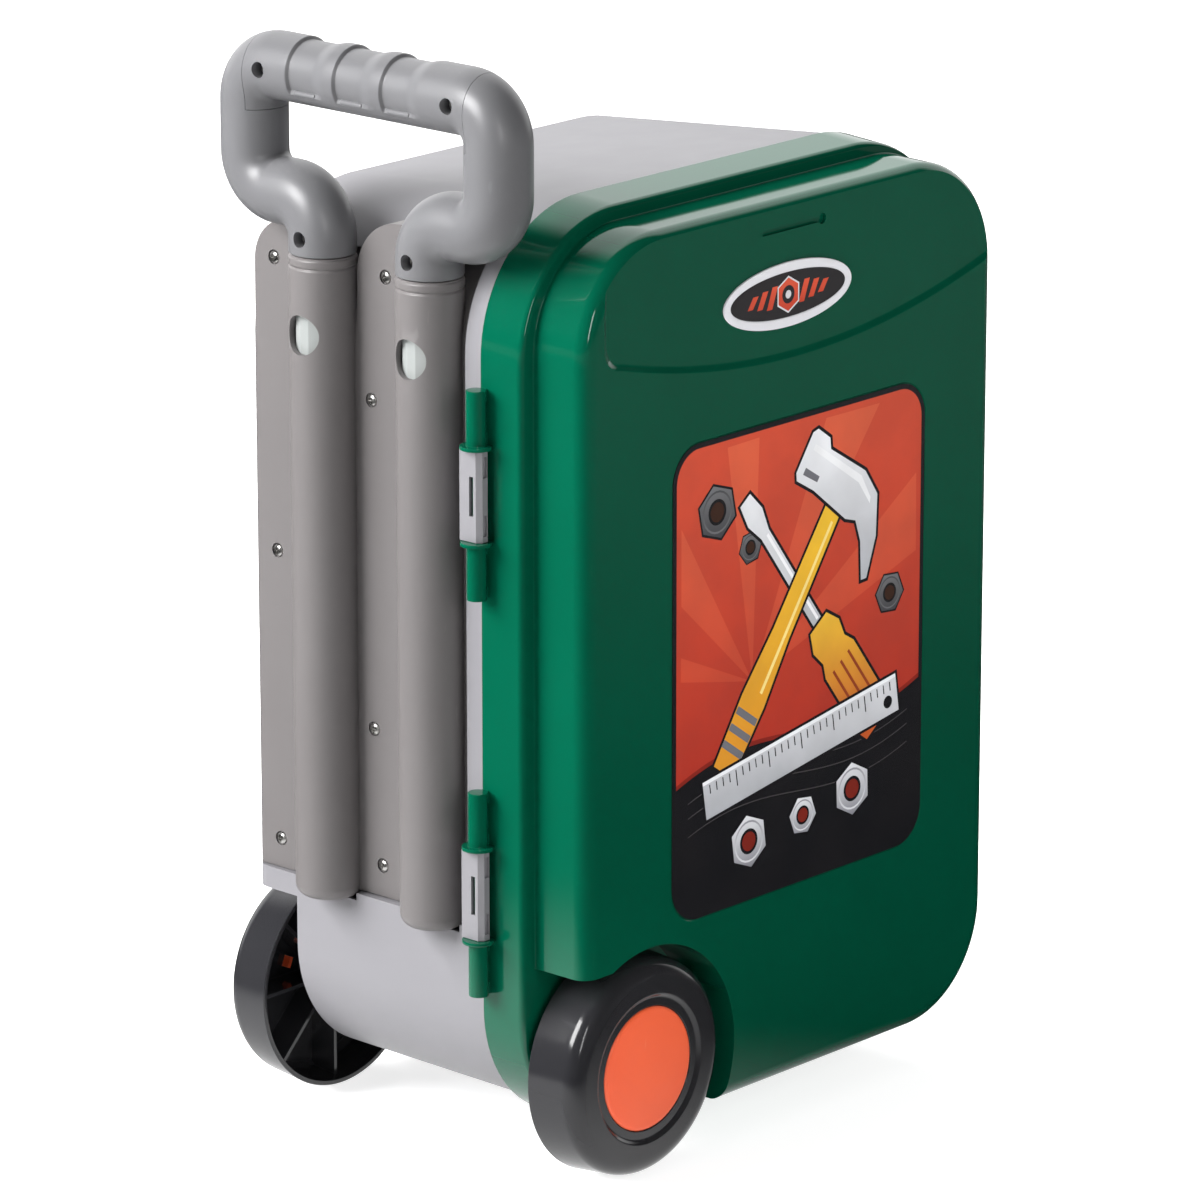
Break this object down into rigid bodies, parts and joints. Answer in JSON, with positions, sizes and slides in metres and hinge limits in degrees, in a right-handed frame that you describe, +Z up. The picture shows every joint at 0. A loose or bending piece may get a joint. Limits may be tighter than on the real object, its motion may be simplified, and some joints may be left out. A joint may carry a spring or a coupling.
{
  "type": "toy tool box",
  "caption": "Child's moulded tool case on two wheels, with a side-hinged door, snap latches and a pull-out handle with lock buttons.",
  "frame": {"origin": "centre of the bounding box, on the floor under the wheels and feet", "axes": "+Z up, -Y out of the door's face, +X away from the handle and wheels, toward the latch side"},
  "size_m": [0.3608, 0.2494, 0.584],
  "materials": {
    "case_gray": "light gray moulded plastic, satin",
    "clip_gray": "light gray moulded plastic, satin",
    "housing_gray": "warm gray moulded plastic, satin",
    "handle_gray": "gray moulded plastic, satin",
    "door_green": "deep green moulded plastic, gloss",
    "wheel_black": "black moulded plastic, soft gloss",
    "cap_orange": "orange moulded plastic",
    "steel": "plated steel",
    "button_pale": "pale gray plastic",
    "label_print": "printed film in orange, black and gray",
    "badge_white": "printed oval plate, white rim and dark field"
  },
  "bodies": {
    "case": {"case_shell": "case_gray", "handle_housing": "housing_gray", "housing_screw_1": "steel", "housing_screw_2": "steel", "housing_screw_3": "steel", "housing_screw_4": "steel", "housing_screw_5": "steel", "housing_screw_6": "steel", "housing_screw_7": "steel", "hinge_clip_upper": "clip_gray", "hinge_clip_lower": "clip_gray", "latch_clip_upper": "clip_gray", "latch_clip_lower": "clip_gray", "foot_front": "case_gray", "foot_rear": "case_gray", "rear_axle": "steel"},
    "door": {"door_shell": "door_green", "front_label": "label_print", "badge_plate": "badge_white", "front_axle": "steel"},
    "handle": {"handle_arm_front": "handle_gray", "handle_arm_rear": "handle_gray", "handle_grip": "handle_gray", "handle_tube_front": "steel", "handle_tube_rear": "steel", "tube_guide_front": "wheel_black", "tube_guide_rear": "wheel_black", "socket_screw_front": "steel", "socket_screw_rear": "steel", "grip_screw_front": "steel", "grip_screw_rear": "steel"},
    "front_wheel": {"front_wheel": "wheel_black", "front_wheel_cap": "cap_orange"},
    "rear_wheel": {"rear_wheel": "wheel_black", "rear_wheel_cap": "cap_orange"},
    "button_front": {"lock_button_front": "button_pale"},
    "button_rear": {"lock_button_rear": "button_pale"}
  },
  "joints": [
    {"name": "door_hinge", "type": "hinge", "parent": "case", "child": "door", "pos_m": [-0.1713, -0.06452, 0.26], "axis": [0, 0, -1], "range_deg": [0, 170]},
    {"name": "handle_slide", "type": "slide", "parent": "case", "child": "handle", "axis": [0, 0, 1], "range_m": [0, 0.2]},
    {"name": "front_wheel_spin", "type": "hinge", "parent": "door", "child": "front_wheel", "pos_m": [-0.1071, -0.09402, 0.06], "axis": [0, 1, 0], "continuous": true},
    {"name": "rear_wheel_spin", "type": "hinge", "parent": "case", "child": "rear_wheel", "pos_m": [-0.1071, 0.09423, 0.06], "axis": [0, 1, 0], "continuous": true},
    {"name": "lock_button_front_press", "type": "slide", "parent": "case", "child": "button_front", "axis": [1, 0, 0], "range_m": [0, 0.0025], "stiffness_N_per_m": 400, "springref_m": -0.001},
    {"name": "lock_button_rear_press", "type": "slide", "parent": "case", "child": "button_rear", "axis": [1, 0, 0], "range_m": [0, 0.0025], "stiffness_N_per_m": 400, "springref_m": -0.001}
  ]
}
